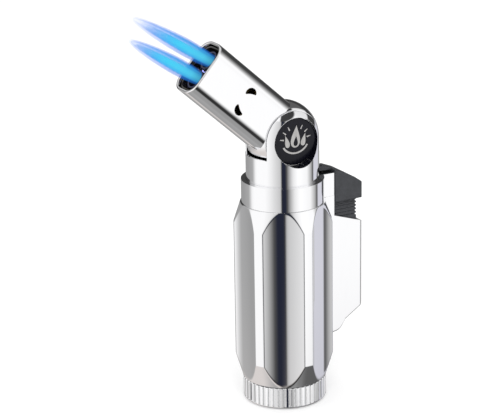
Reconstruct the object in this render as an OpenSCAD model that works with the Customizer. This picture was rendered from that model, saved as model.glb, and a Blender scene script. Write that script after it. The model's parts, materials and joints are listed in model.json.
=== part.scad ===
// Pocket twin-jet butane torch with a tilting nozzle head.
// Millimetres. +Z is up, the origin is the middle of the foot, and the head leans towards -X.

/* [Case] */
// Radius of the case over its lands
case_r = 15; // [14.5:0.1:16]
// Height of the case's lower edge
case_z = 7; // [6.9:0.1:7.4]
// Height of the case's upper edge
case_top = 63.1; // [62:0.1:65]
// Radius of the case's lower edge
case_foot_r = 12.8; // [12.7:0.05:13]
// Radius of the case's upper edge
case_neck_r = 12.9; // [12.7:0.05:13]
// Radius of the case's bore
bore_r = 11.6; // [11.4:0.1:11.7]
// Radius of the cutter that hollows each flute
flute_r = 24; // [22:0.5:26]
// Distance from the axis to the bottom of a flute
flute_floor = 12.85; // [12.7:0.05:13]
// Number of flutes
flute_count = 6; // [6]

/* [Foot ring] */
// Outer radius of the knurled ring
ring_r = 12.76; // [12:0.02:12.9]
// Height of the ring
ring_h = 6.7; // [6.4:0.1:6.7]
// Number of knurl grooves
knurl_count = 48; // [24:2:60]

/* [Neck and head] */
// Radius of the collar
collar_r = 12.55; // [12:0.05:12.8]
// Height of the collar's upper edge
collar_top = 70.3; // [69.5:0.1:71]
// Radius of the neck and of its two ears
neck_r = 11.05; // [10.9:0.05:11.2]
// Height of the head's pivot
pivot_z = 83.3; // [83:0.1:84]
// Lean of the head from upright at rest, in degrees
head_lean = 48; // [0:1:65]
// Distance from the pivot to the mouth
head_reach = 37.2; // [34:0.1:40]
// Width of the nozzle tube across the pivot
tube_w = 11.8; // [11.4:0.1:11.8]
// Depth of the nozzle tube in the plane that it tilts in
tube_d = 17.2; // [16.6:0.1:17.6]

/* [Trigger] */
// Travel of the trigger
trigger_travel = 3.9; // [3:0.1:3.9]
// Width of the trigger's cap
cap_w = 9; // [8.6:0.1:9.1]
// Number of grip grooves
grip_grooves = 5; // [3:1:5]

/* [Hidden] */
$fn = 96;
tiny = 0.01;
gap = 0.3;            // between pieces that move past each other
snug = 0.05;          // radial clearance of a turning or sliding fit
wall = 0.9;

// Case
land_low = 14.2;
land_high = 56.7;
flute_x = flute_floor + flute_r;
fin_half_w = 4.55;
fin_wall = 0.8;
fin_back = 25.9;
fin_in = 12.2;

// Neck
collar_z = case_top;
lug_half_w = 4.5;
lug_x = 15.4;
lug_slot_half_w = 2.8;
lug_slot_z = collar_top - trigger_travel - 1.1;
yoke_z = 60.05;
rim_z = 78.3;
ear_in = 6;
ear_flat = 7.15;
recess_r = 7.35;
badge_r = 7.2;
socket_r = 11.6;
floor_z = 70.4;
pass_r = 3.4;
pin_r = 1.5;

// Head, drawn upright about the pivot
knuckle_r = 10.95;
tube_z = 6;
tube_round = 4.2;
jet_u = 3.35;
jet_r = 3;
vent_r = 1.85;
vent_along = 20.9;
vent_u = 2.75;
vent_slant = 63;
mixer_z = 13.6;
spark_y = 3.6;

// Trigger and piezo
stem_half_w = 3.45;
stem_x = [15.7, 24.1];
stem_z = 50;
cap_x = 25.4;
cap_z = 60.8;
cap_half_w = cap_w / 2;
nose_half_w = 2.4;
nose_x = 11.5;
groove_pitch = 1.1;
piezo_x = 19.3;
piezo_r = 2.4;
piezo_top = 43.5;
piezo_z = 26.4;
wire_y = 2.1;

// Gas works
tank_r = 11.2;
tank_z = 12;
tank_top = 44;
cap_plate_z = 47;
valve_x = -4;
lever_z = 54;
lever_tip_x = 9;
bulkhead_z = 58;
fill_r = 1.5;
fill_z = 0.4;
fill_top = 6.4;
poppet_z = 7;

// ---------- shared shapes ----------

// A round disc or post from z0 up by h
module post(r, z0, h) {
    translate([0, 0, z0]) cylinder(r = r, h = h);
}

// A ring from z0 up by h
module ring(r_out, r_in, z0, h) {
    difference() {
        post(r_out, z0, h);
        post(r_in, z0 - 1, h + 2);
    }
}

// A block given by its lowest and highest corners
module block(low, high) {
    translate(low) cube(high - low);
}

// A rounded rectangle, w along X and d along Y
module round_rect(w, d, r) {
    union() {
        square([w - 2 * r, d], center = true);
        square([w, d - 2 * r], center = true);
        for (sx = [-1, 1], sy = [-1, 1])
            translate([sx * (w / 2 - r), sy * (d / 2 - r)]) circle(r = r, $fn = 48);
    }
}

// A cylinder along Y between two values of y, about the point x, z
module cross_pin(r, y0, y1, x = 0, z = 0) {
    translate([x, y0, z]) rotate([-90, 0, 0]) cylinder(r = r, h = y1 - y0);
}

// The side outline given in X and Z, made half_w thick on each side of the middle
module side_plate(points, half_w) {
    translate([0, half_w, 0]) rotate([90, 0, 0]) linear_extrude(2 * half_w) polygon(points);
}

// A round tube swept along a list of points. side is a direction that the route never follows.
module tube_along(points, r, side, sides = 8) {
    last = len(points) - 1;
    function unit(v) = v / norm(v);
    function heading(i) = unit(points[min(i + 1, last)] - points[max(i - 1, 0)]);
    function ring_at(i) =
        let (t = heading(i), across = unit(cross(t, side)), over = cross(across, t))
        [for (k = [0 : sides - 1]) let (b = 360 * k / sides)
            points[i] + r * (cos(b) * across + sin(b) * over)];
    polyhedron([for (i = [0 : last]) for (p = ring_at(i)) p], concat(
        [[for (k = [0 : sides - 1]) k]],
        [for (i = [0 : last - 1], k = [0 : sides - 1]) let (n = (k + 1) % sides)
            [i * sides + k, (i + 1) * sides + k, (i + 1) * sides + n, i * sides + n]],
        [[for (k = [sides - 1 : -1 : 0]) last * sides + k]]
    ));
}

// A coil spring along Z
module coil(r, wire, turns, z0, z1, steps = 14) {
    count = turns * steps;
    tube_along([for (i = [0 : count]) let (a = 360 * i / steps)
        [r * cos(a), r * sin(a), z0 + wire + (z1 - z0 - 2 * wire) * i / count]],
        wire, [0, 0, 1]);
}

// Places the head's pieces: they are drawn upright about the pivot, then leant forward
module head_place() {
    translate([0, 0, pivot_z]) rotate([0, -head_lean, 0]) children();
}

// ---------- case ----------

module case_turned() {
    rotate_extrude() polygon([
        [0, case_z], [case_foot_r, case_z], [case_r, land_low],
        [case_r, land_high], [case_neck_r, case_top], [0, case_top]
    ]);
}

module fin_outline() {
    polygon([
        [fin_in, case_top], [lug_x, case_top], [lug_x, 56.7], [25.3, 53.4],
            [fin_back, 53.05], [fin_back, 26], [19.6, 22],
        [18.9, 20.8], [18.1, 19.7], [17.3, 19.05], [16.4, 18.7], [fin_in, 18.2]
    ]);
}

module fin_solid() {
    bevel = 1.2;
    intersection() {
        translate([0, fin_half_w, 0]) rotate([90, 0, 0]) linear_extrude(2 * fin_half_w)
            fin_outline();
        linear_extrude(case_top) polygon([
            [fin_in, -fin_half_w], [fin_back - bevel, -fin_half_w],
            [fin_back, bevel - fin_half_w], [fin_back, fin_half_w - bevel],
            [fin_back - bevel, fin_half_w], [fin_in, fin_half_w]
        ]);
    }
}

module body_shell() {
    hollow_x = fin_back - fin_wall;
    lip_x = stem_x[1] + gap;
    color("gainsboro") difference() {
        union() {
            difference() {
                case_turned();
                for (i = [0 : flute_count - 1])
                    rotate([0, 0, i * 360 / flute_count]) translate([flute_x, 0, 0])
                        cylinder(r = flute_r, h = 80, $fn = 180);
            }
            fin_solid();
        }
        post(bore_r, 0, 80);
        side_plate([
            [bore_r - 1, 20.3], [16.6, 20.3], [18.9, 23.1], [hollow_x, 26.5],
            [hollow_x, 51.4], [lip_x, 52], [lip_x, 60], [bore_r - 1, 60]
        ], fin_half_w - fin_wall);
    }
}

module collar() {
    bevel = 0.35;
    color("gainsboro") difference() {
        union() {
            rotate_extrude() polygon([
                [0, collar_z], [collar_r, collar_z], [collar_r, collar_top - bevel],
                [collar_r - bevel, collar_top], [0, collar_top]
            ]);
            block([neck_r, -lug_half_w, collar_z], [lug_x, lug_half_w, collar_top]);
        }
        post(neck_r + snug, collar_z - 1, 20);
        block([0, -lug_slot_half_w, lug_slot_z], [lug_x + 1, lug_slot_half_w, collar_top + 1]);
    }
}

module bulkhead() {
    color("dimgray") difference() {
        post(bore_r - snug, bulkhead_z, yoke_z - bulkhead_z - snug);
        post(pass_r, bulkhead_z - 1, 5);
        for (a = [60, 180, 300]) rotate([0, 0, a]) translate([8.2, 0, 0]) post(1.1, 50, 20);
        translate([valve_x, 0, 0]) post(1.8, bulkhead_z - 1, 5);
        translate([8.6, wire_y, 0]) post(1, bulkhead_z - 1, 5);
    }
}

module bulkhead_screws() {
    color("silver") for (a = [60, 180, 300]) rotate([0, 0, a]) translate([8.2, 0, 0])
        difference() {
            union() {
                post(1.9, bulkhead_z - 1.4, 1.35);
                post(1, bulkhead_z - 1, 7.5);
            }
            block([-1.4, -0.25, bulkhead_z - 2], [1.4, 0.25, bulkhead_z - 0.9]);
        }
}

// ---------- foot ----------

module base_plate() {
    color("dimgray") difference() {
        post(bore_r - snug, case_z, 2);
        post(5.4, case_z - 1, 4);
    }
}

module adjuster_ring() {
    bevel = 0.5;
    tooth_depth = 0.45;
    color("gainsboro") difference() {
        union() {
            difference() {
                rotate_extrude() polygon([
                    [4.35, 0], [ring_r - bevel, 0], [ring_r, bevel], [ring_r, ring_h - 0.2],
                    [ring_r - 0.2, ring_h], [4.35, ring_h]
                ]);
                ring(11.2, 5.25, 1.8, 10);
            }
            ring(5.3, 4.35, ring_h - 1, 4.4);
        }
        for (i = [0 : knurl_count - 1]) rotate([0, 0, i * 360 / knurl_count])
            translate([ring_r + 0.05, 0, 0.7]) cylinder(r = tooth_depth, h = 8, $fn = 16);
        ring(6, 4.85, 9.1, 0.6);
    }
}

module adjuster_clip() {
    color("silver") difference() {
        ring(7.4, 4.9, 9.15, 0.5);
        block([0, -2.2, 9], [8, 2.2, 10]);
    }
}

module regulator_sleeve() {
    color("goldenrod") ring(4.3, 3.4, 1.8, 9);
}

// ---------- tank and valves ----------

module fuel_tank() {
    color("lightsteelblue") difference() {
        post(tank_r, tank_z, tank_top - tank_z);
        post(tank_r - wall, tank_z + 1.3, 50);
        post(3.25, tank_z - 1, 5);
    }
}

module tank_cap() {
    color("slategray") difference() {
        union() {
            post(tank_r, tank_top, cap_plate_z - tank_top);
            post(tank_r - wall - snug, tank_top - 3, 3.5);
        }
        ring(20, tank_r - wall - 1.05, tank_top - 2.2, 1.3);
        post(tank_r - 2.6, tank_top - 4, 3.5);
        translate([valve_x, 0, 0]) post(2.55, tank_top - 4, 9);
    }
}

module tank_seal() {
    seal_wire = 0.55;
    color("black") translate([0, 0, tank_top - 1.55])
        rotate_extrude() translate([tank_r - wall - 0.5, 0]) circle(r = seal_wire - 0.08, $fn = 32);
}

module filler_valve() {
    flange = [4.9, tank_z - 0.9, tank_z - tiny];
    color("goldenrod") rotate_extrude() polygon([
        [fill_r, fill_z], [3.3, fill_z], [3.3, flange[1]], [flange[0], flange[1]],
        [flange[0], flange[2]], [3.2, flange[2]], [3.2, 17], [1, 17], [1, 16.2],
        [2.3, 16.2], [2.3, fill_top], [fill_r, fill_top]
    ]);
}

module filler_seal() {
    color("black") ring(4.8, 3.25, tank_z + 1.35, 0.8);
}

module filler_poppet() {
    color("goldenrod") union() {
        post(2.2, poppet_z, 1.2);
        post(0.9, poppet_z, 5);
    }
}

module filler_spring() {
    color("silver") coil(1.6, 0.25, 5, poppet_z + 1.25, 16.15);
}

module outlet_valve() {
    color("goldenrod") translate([valve_x, 0, 0]) difference() {
        union() {
            post(2.5, tank_top - 5, cap_plate_z + 1.42 - tank_top + 5);
            post(3.4, cap_plate_z + 0.02, 1.4);
        }
        post(1.05, tank_top - 6, 20);
        post(1.75, tank_top - 3.9, 7.9);
    }
}

module valve_stem() {
    color("silver") translate([valve_x, 0, 0]) union() {
        post(1, tank_top - 4.5, lever_z + 1.9 - tank_top + 4.5);
        post(1.65, tank_top - 3.8, 0.7);
        post(1.7, lever_z + 1.2, 0.8);
    }
}

module valve_spring() {
    color("silver") translate([valve_x, 0, 0]) coil(1.35, 0.2, 6, tank_top - 3.05, tank_top + 3.9);
}

module lever_bracket() {
    cheek = 2.6;
    color("slategray") difference() {
        union() {
            for (s = [-1, 1]) {
                block([-1.9, s > 0 ? cheek : -cheek - 1, cap_plate_z + 0.02],
                      [1.9, s > 0 ? cheek + 1 : -cheek, lever_z + 2]);
            }
            block([-0.3, -cheek - 1, cap_plate_z + 0.02], [1.9, cheek + 1, cap_plate_z + 1]);
        }
        cross_pin(0.8, -6, 6, 0, lever_z);
    }
}

module lever_pin() {
    color("silver") cross_pin(0.78, -3.55, 3.55, 0, lever_z);
}

module valve_lever() {
    half_w = 2.2;
    color("silver") difference() {
        union() {
            cross_pin(1.7, -half_w, half_w, 0, lever_z);
            block([-4.9, -half_w, lever_z - 0.8], [-0.5, half_w, lever_z + 0.8]);
            block([0.5, -1.4, lever_z - 0.8], [lever_tip_x, 1.4, lever_z + 0.8]);
        }
        cross_pin(0.78 + snug, -4, 4, 0, lever_z);
        block([-7, -1.3, lever_z - 2], [valve_x + 1.35, 1.3, lever_z + 2]);
    }
}

// ---------- trigger and igniter ----------

module trigger() {
    groove_r = 0.3;
    arm_z = lever_z + 1.2;
    color("#3c3f48") difference() {
        union() {
            side_plate([
                [stem_x[0], cap_z], [cap_x - 0.3, cap_z], [cap_x, cap_z + 0.3], [cap_x, 65.9],
                [22.9, 67.7], [19.6, 69.6], [stem_x[0], 71.15]
            ], cap_half_w);
            side_plate([
                [stem_x[0], stem_z], [stem_x[1], stem_z], [stem_x[1], cap_z + 1],
                [stem_x[0], cap_z + 1]
            ], stem_half_w);
            side_plate([
                [nose_x, 70.9], [stem_x[0] + 1, 70.6], [stem_x[0] + 1, 70.8], [15.1, 71.4],
                [12.6, 72.4], [nose_x, 72.2]
            ], nose_half_w);
            block([lever_tip_x - 1.6, -1.3, arm_z], [stem_x[0] + 1, 1.3, arm_z + 2]);
        }
        for (i = [0 : grip_grooves - 1])
            translate([0, 0, cap_z - 0.9 - i * groove_pitch]) {
                cross_pin(groove_r, -6, 6, stem_x[1] + 0.1, 0);
                for (s = [-1, 1]) translate([stem_x[0] - 1, s * (stem_half_w + 0.1), 0])
                    rotate([0, 90, 0]) cylinder(r = groove_r, h = 10, $fn = 24);
            }
    }
}

module piezo_body() {
    color("ivory") difference() {
        union() {
            block([16, -3.5, piezo_z + 2.5], [23.2, 3.5, piezo_top]);
            block([20, -3.5, piezo_z], [23, 3.5, piezo_z + 3]);
        }
        translate([piezo_x, 0, 0]) post(piezo_r + snug, piezo_z + 5, 40);
    }
}

module piezo_plunger() {
    color("ivory") translate([piezo_x, 0, 0]) post(piezo_r, 36, stem_z - 36);
}

module trigger_spring() {
    color("silver") translate([piezo_x, 0, 0]) coil(2.95, 0.25, 4, piezo_top + 0.05, stem_z - 0.05);
}

// ---------- neck ----------

module neck_yoke() {
    color("gainsboro") difference() {
        union() {
            post(neck_r, yoke_z, pivot_z - yoke_z);
            translate([0, 0, pivot_z]) rotate_extrude() intersection() {
                circle(r = neck_r, $fn = 180);
                square([20, 20]);
            }
        }
        block([-20, -ear_in, rim_z], [20, ear_in, 120]);
        translate([0, 0, pivot_z]) rotate([90, 0, 0]) rotate_extrude() intersection() {
            circle(r = socket_r, $fn = 180);
            translate([0, -ear_in]) square([20, 2 * ear_in]);
        }
        for (s = [0, 180]) rotate([0, 0, s]) {
            cross_pin(recess_r, ear_flat, 20, 0, pivot_z);
            cross_pin(pin_r + tiny, 5, 9, 0, pivot_z);
            cross_pin(2.62, ear_flat - 0.5, 9, 0, pivot_z);
        }
        post(neck_r - 1.4, yoke_z - 1, floor_z - yoke_z - 0.9);
        post(pass_r, floor_z - 6, 10);
    }
    // Bosses that the bulkhead's screws run into
    color("gainsboro") for (a = [60, 180, 300]) rotate([0, 0, a]) difference() {
        union() {
            translate([8.2, 0, 0]) post(1.8, yoke_z, 8.4);
            block([8, -1, yoke_z], [neck_r - 0.6, 1, yoke_z + 8.4]);
        }
        translate([8.2, 0, 0]) post(1.02, yoke_z - 1, 6);
    }
}

module pivot_pins() {
    color("silver") translate([0, 0, pivot_z]) for (s = [0, 180]) rotate([0, 0, s]) {
        cross_pin(pin_r, 3.7, ear_flat - 0.3, 0, 0);
        cross_pin(2.6, ear_flat - 0.48, ear_flat - 0.05, 0, 0);
    }
}

module friction_washers() {
    color("silver") translate([0, 0, pivot_z]) for (s = [0, 180]) rotate([0, 0, s])
        difference() {
            cross_pin(3.8, 5.4, 5.97, 0, 0);
            cross_pin(pin_r + 0.02, 5, 7, 0, 0);
        }
}

module badge(side) {
    rotate([0, 0, side]) translate([0, 0, pivot_z]) rotate([-90, 0, 0]) rotate_extrude()
        polygon([
            [0, ear_flat + 0.02], [badge_r, ear_flat + 0.02], [badge_r, ear_flat + 0.3],
            [badge_r - 0.2, ear_flat + 0.45], [0, ear_flat + 0.45]
        ]);
}

module left_badge() { color("#2b2b33") badge(180); }

module right_badge() { color("#2b2b33") badge(0); }

// ---------- head ----------

// The ball cut to a slice, about Y
module knuckle(r, half_w) {
    rotate([90, 0, 0]) rotate_extrude() intersection() {
        circle(r = r, $fn = 180);
        translate([0, -half_w]) square([20, 2 * half_w]);
    }
}

module vents() {
    for (s = [-1, 1]) translate([s * vent_u, 10, vent_along]) rotate([90, s * (90 - vent_slant), 0])
        linear_extrude(20) difference() {
            circle(r = vent_r, $fn = 48);
            translate([s * -6.1, 0]) circle(r = 6.1, $fn = 96);
        }
}

module head_shell() {
    // The opening for the hose and the wire runs round the ball from its foot to its front
    opening = [for (a = [-8 : 21.5 : 78]) -15 * [sin(a), cos(a)]];
    color("gainsboro") head_place() difference() {
        union() {
            knuckle(knuckle_r, tube_w / 2);
            translate([0, 0, tube_z]) linear_extrude(head_reach - tube_z)
                round_rect(tube_d, tube_w, tube_round);
        }
        translate([0, 0, tube_z + 1.5]) linear_extrude(40)
            round_rect(tube_d - 2 * wall, tube_w - 2 * wall, tube_round - 0.8);
        knuckle(knuckle_r - 1.6, 3.6);
        for (s = [0, 180]) rotate([0, 0, s]) {
            cross_pin(pin_r + snug, 0, 10);
            cross_pin(4, 5.3, 10);
        }
        side_plate(concat([[0, -3]], opening, [[-3, 0]]), 2.8);
        vents();
    }
}

module nozzle_insert() {
    outer = [tube_d - 2.4, 9.4];
    thin = 0.35;
    color("#3a3634") head_place() difference() {
        translate([0, 0, 26]) linear_extrude(10.2) round_rect(outer[0], outer[1], 3.1);
        translate([0, 0, 29]) linear_extrude(10)
            round_rect(outer[0] - 2 * thin, outer[1] - 2 * thin, 2.75);
        for (s = [-1, 1]) translate([s * jet_u, 0, 20]) cylinder(r = jet_r + tiny, h = 20);
        translate([0, spark_y, 20]) cylinder(r = 0.62, h = 20);
    }
}

module burner() {
    color("#8a7a5c") difference() {
        union() {
            translate([0, 0, 24]) cylinder(r = jet_r - 0.02, h = 11.6);
            translate([0, 0, 22.05]) cylinder(r = 1.6, h = 3);
        }
        translate([0, 0, 33]) cylinder(r = jet_r - 0.5, h = 5);
        translate([0, 0, 26]) cylinder(r = 1, h = 10);
        translate([0, 0, 20]) cylinder(r = 0.5, h = 10);
        for (a = [0 : 45 : 315]) rotate([0, 0, a]) translate([1.8, 0, 28])
            cylinder(r = 0.35, h = 10, $fn = 24);
    }
}

module upper_burner() { head_place() translate([jet_u, 0, 0]) burner(); }

module lower_burner() { head_place() translate([-jet_u, 0, 0]) burner(); }

module mixer_block() {
    color("goldenrod") head_place() difference() {
        union() {
            translate([0, 0, 17]) linear_extrude(5) round_rect(12.4, 5, 1.5);
            translate([0, 0, mixer_z]) cylinder(r = 1.5, h = 4);
        }
        for (s = [-1, 1]) translate([s * jet_u, 0, 19]) cylinder(r = 1.1, h = 5);
        translate([-jet_u, 0, 19.5]) rotate([0, 90, 0]) cylinder(r = 0.7, h = 2 * jet_u);
        translate([0, 0, 13]) cylinder(r = 0.7, h = 6.5);
    }
}

module electrode() {
    color("silver") head_place() translate([0, spark_y, 0]) union() {
        translate([0, 0, 22.6]) cylinder(r = 0.3, h = 12.2, $fn = 24);
        translate([0, 0, 34.4]) rotate([90, 0, 0]) cylinder(r = 0.28, h = 1.2, $fn = 24);
    }
}

module electrode_insulator() {
    color("ivory") head_place() translate([0, spark_y, 24]) difference() {
        cylinder(r = 0.6, h = 9);
        translate([0, 0, -1]) cylinder(r = 0.31, h = 12);
    }
}

// The stretch of a flexible line that bends with the head: up the neck, round and along the tube
function bend_route(y, reach) =
    let (bend_r = 6, lead = bend_r * tan(head_lean / 2),
         aim = [-sin(head_lean), 0, cos(head_lean)], pivot = [0, y, pivot_z])
    concat(
        [for (a = [0 : head_lean / 6 : head_lean])
            pivot + [-bend_r * (1 - cos(a)), 0, bend_r * sin(a) - lead]],
        [for (d = [lead + 2, (lead + reach) / 2, reach]) pivot + aim * d]
    );

module gas_hose() {
    start = [valve_x, 0, 56];
    color("dimgray") tube_along(concat(
        [start, start + [0, 0, 1.2]],
        [for (t = [0.1 : 0.2 : 0.9]) [valve_x * (1 - t * t * (3 - 2 * t)), 0, 58 + 8 * t]],
        [[0, 0, 68], [0, 0, 74]],
        bend_route(0, mixer_z - 0.1)
    ), 0.9, [0, 1, 0], 12);
}

module igniter_wire() {
    color("firebrick") tube_along(concat(
        [[15.95, wire_y, 38.5], [15, wire_y, 39], [14.4, wire_y, 40.5], [14.3, wire_y, 45],
         [13.8, wire_y, 48], [12, wire_y, 50], [10.6, wire_y, 52], [10, wire_y, 55],
         [8.6, wire_y, 58], [8.4, wire_y, 60.5], [6, wire_y, 64], [2, wire_y, 67.5],
         [0.3, wire_y, 70.5], [0, wire_y, 74]],
        bend_route(wire_y, 10),
        [for (step = [[12, 0.35], [14, 0.8], [16, 1], [22.4, 1]])
            [0, wire_y + (spark_y - wire_y) * step[1], pivot_z]
            + step[0] * [-sin(head_lean), 0, cos(head_lean)]]
    ), 0.4, [0, 1, 0], 8);
}

body_shell();
collar();
neck_yoke();
bulkhead();
bulkhead_screws();
base_plate();
adjuster_ring();
adjuster_clip();
regulator_sleeve();
fuel_tank();
tank_cap();
tank_seal();
filler_valve();
filler_seal();
filler_poppet();
filler_spring();
outlet_valve();
valve_stem();
valve_spring();
valve_lever();
lever_bracket();
lever_pin();
trigger();
piezo_body();
piezo_plunger();
trigger_spring();
pivot_pins();
friction_washers();
left_badge();
right_badge();
head_shell();
nozzle_insert();
upper_burner();
lower_burner();
mixer_block();
electrode();
electrode_insulator();
gas_hose();
igniter_wire();
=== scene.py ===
"""Looks of the pocket twin-jet torch: chrome case, neck and head, black trigger and badges."""
import json
import math

import bmesh
import bpy
from mathutils import Matrix, Vector


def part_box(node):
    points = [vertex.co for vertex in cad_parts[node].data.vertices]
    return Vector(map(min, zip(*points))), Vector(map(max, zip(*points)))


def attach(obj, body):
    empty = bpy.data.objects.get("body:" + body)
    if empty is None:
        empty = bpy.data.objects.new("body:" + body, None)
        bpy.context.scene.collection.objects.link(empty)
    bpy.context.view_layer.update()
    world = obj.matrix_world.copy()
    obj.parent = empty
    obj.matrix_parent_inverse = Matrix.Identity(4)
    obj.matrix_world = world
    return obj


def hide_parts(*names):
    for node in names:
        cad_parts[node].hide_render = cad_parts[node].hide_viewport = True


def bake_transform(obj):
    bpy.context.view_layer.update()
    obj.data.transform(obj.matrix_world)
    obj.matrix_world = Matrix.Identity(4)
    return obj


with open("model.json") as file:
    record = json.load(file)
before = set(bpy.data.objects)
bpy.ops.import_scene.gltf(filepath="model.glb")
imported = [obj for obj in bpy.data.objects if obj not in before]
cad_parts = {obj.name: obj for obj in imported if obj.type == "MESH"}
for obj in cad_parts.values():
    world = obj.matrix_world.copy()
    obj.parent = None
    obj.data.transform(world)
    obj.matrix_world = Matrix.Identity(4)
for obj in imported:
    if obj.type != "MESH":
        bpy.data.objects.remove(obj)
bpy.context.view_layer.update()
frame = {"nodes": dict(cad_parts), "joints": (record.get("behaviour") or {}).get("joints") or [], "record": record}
NODES = frame["nodes"]
SLOT_OF = {s["node"]: s["material_slot"] for s in frame["record"]["subparts"]}
JOINTS = {j["name"]: j for j in frame["joints"]}

# Everything below is drawn in millimetres and written in metres.
MM = 0.001


def box(node):
    """Lowest and highest corner of a CAD node, in millimetres."""
    low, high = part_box(node)
    return low / MM, high / MM


# ---------- sizes taken from the CAD ----------
shell_low, shell_high = box("body_shell")
collar_low, collar_high = box("collar")
yoke_low = box("neck_yoke")[0]
trigger_low = box("trigger")[0]

PIVOT = Vector(JOINTS["head_tilt"]["pos_m"]) / MM
HEAD_LEAN = math.radians(48)
HEAD_TURN = Matrix.Translation(PIVOT) @ Matrix.Rotation(-HEAD_LEAN, 4, "Y")

CASE_R = -shell_low.y
CASE_Z, CASE_TOP = shell_low.z, shell_high.z
FOOT_R, SHOULDER_R = 12.8, 12.9
LAND_LOW, LAND_HIGH = CASE_Z + 7.2, CASE_TOP - 6.4
BORE_R = 11.6
FLUTES, FLUTE_R, FLUTE_FLOOR = 6, 24.0, 12.85
FLUTE_X = FLUTE_FLOOR + FLUTE_R
FIN_BACK, FIN_Y, FIN_WALL = 25.9, 4.55, 0.8
RING_R, RING_H = 12.76, 6.7
NECK_R = -yoke_low.x
EAR_IN, EAR_FLAT = 6.0, 7.15
BADGE_R, RECESS_R = 7.2, 7.35
RIM_Z, SOCKET_R, KNUCKLE_R = 78.3, 11.6, 10.95
TUBE_W, TUBE_D, TUBE_ROUND, TUBE_WALL = 11.8, 17.2, 4.2, 0.9
HEAD_REACH = 37.2
VENT_R, VENT_U, VENT_ALONG = 1.85, 2.75, 20.9
TRIGGER_X, CAP_X, CAP_Z = (15.7, 24.1), 25.4, 60.8
HOSE_R, WIRE_R, WIRE_Y = 0.9, 0.4, 2.1


# ---------- mesh helpers ----------
def mesh_from(name, verts, faces, matrix=None):
    """A new object from points in millimetres."""
    mesh = bpy.data.meshes.new(name)
    place = matrix or Matrix.Identity(4)
    mesh.from_pydata([(place @ Vector(v)) * MM for v in verts], [], faces)
    mesh.update()
    piece = bpy.data.objects.new(name, mesh)
    bpy.context.scene.collection.objects.link(piece)
    return piece


def loops_to_faces(loops, wrap=False, caps=True):
    """Quads between neighbouring loops of equal length, closed round each loop."""
    count, size = len(loops), len(loops[0])
    verts = [p for loop in loops for p in loop]
    faces = []
    for i in range(count if wrap else count - 1):
        a, b = i * size, ((i + 1) % count) * size
        for k in range(size):
            n = (k + 1) % size
            faces.append((a + k, a + n, b + n, b + k))
    if caps and not wrap:
        faces.append(tuple(range(size - 1, -1, -1)))
        faces.append(tuple(range((count - 1) * size, count * size)))
    return verts, faces


def outward(piece):
    """Turns the faces outward."""
    work = bmesh.new()
    work.from_mesh(piece.data)
    bmesh.ops.recalc_face_normals(work, faces=work.faces)
    work.to_mesh(piece.data)
    work.free()
    piece.data.update()
    return piece


def lofted(name, loops, wrap=False, caps=True, matrix=None):
    return outward(mesh_from(name, *loops_to_faces(loops, wrap, caps), matrix))


def turned(name, profile, segments=256, axis="Z", matrix=None, limit=None):
    """A closed profile of (radius, height) turned about the axis.

    limit(angle, height) caps the radius.
    """
    loops = []
    for r, h in profile:
        loop = []
        for k in range(segments):
            a = 2 * math.pi * k / segments
            reach = min(r, limit(a, h)) if limit else r
            x, y = reach * math.cos(a), reach * math.sin(a)
            loop.append((x, y, h) if axis == "Z" else (x, h, y))
        loops.append(loop)
    return lofted(name, loops, wrap=True, matrix=matrix)


def extruded(name, outline, low, high, axis="Y", matrix=None):
    """An outline pushed from low to high: drawn in X and Z for axis Y, in X and Y for axis Z."""
    if axis == "Y":
        loops = [[(x, h, z) for x, z in outline] for h in (low, high)]
    else:
        loops = [[(x, y, h) for x, y in outline] for h in (low, high)]
    return lofted(name, loops, matrix=matrix)


def cut(piece, cutter, operation="DIFFERENCE"):
    """A boolean that is applied at once; the cutter goes."""
    step = piece.modifiers.new("cut", "BOOLEAN")
    step.operation, step.solver, step.object = operation, "EXACT", cutter
    bpy.context.view_layer.update()
    made = bpy.data.meshes.new_from_object(piece.evaluated_get(bpy.context.evaluated_depsgraph_get()))
    piece.modifiers.clear()
    piece.data = made
    bpy.data.objects.remove(cutter)
    return piece


def bevelled(piece, width, segments=3, angle=30):
    step = piece.modifiers.new("bevel", "BEVEL")
    step.width, step.segments = width * MM, segments
    step.limit_method, step.angle_limit = "ANGLE", math.radians(angle)
    return piece


def shaded(piece, angle=32):
    """Smooth faces, sharp past the angle, with flats kept flat."""
    piece.data.shade_smooth()
    piece.data.set_sharp_from_angle(angle=math.radians(angle))
    step = piece.modifiers.new("flats", "WEIGHTED_NORMAL")
    step.mode, step.keep_sharp, step.weight = "FACE_AREA", True, 100
    return piece


def rounded_rect(w, d, r, steps=10):
    points = []
    for cx, cy, start in ((1, 1, 0), (-1, 1, 90), (-1, -1, 180), (1, -1, 270)):
        for k in range(steps + 1):
            a = math.radians(start + 90 * k / steps)
            points.append((cx * (w / 2 - r) + r * math.cos(a), cy * (d / 2 - r) + r * math.sin(a)))
    return points


def soft_min(a, b, k):
    h = max(k - abs(a - b), 0) / k
    return min(a, b) - h * h * k / 4


# ---------- node helpers ----------
def put(tree, kind, inputs=None, **settings):
    """Adds a shader node. An input is a value, or a socket to link from."""
    made = tree.nodes.new("ShaderNode" + kind)
    for key, value in settings.items():
        setattr(made, key, value)
    for key, value in (inputs or {}).items():
        if isinstance(value, bpy.types.NodeSocket):
            tree.links.new(value, made.inputs[key])
        else:
            made.inputs[key].default_value = value
    return made


def ramp(tree, factor, stops, mode="LINEAR"):
    """A colour ramp with stops of (position, grey or colour)."""
    made = put(tree, "ValToRGB", {"Fac": factor})
    band = made.color_ramp
    band.interpolation = mode
    while len(band.elements) > 1:
        band.elements.remove(band.elements[-1])
    for i, (at, value) in enumerate(stops):
        stop = band.elements[0] if i == 0 else band.elements.new(at)
        stop.position = at
        rgb = value if isinstance(value, tuple) else (value, value, value)
        stop.color = (*rgb, 1)
    return made.outputs["Color"]


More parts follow.
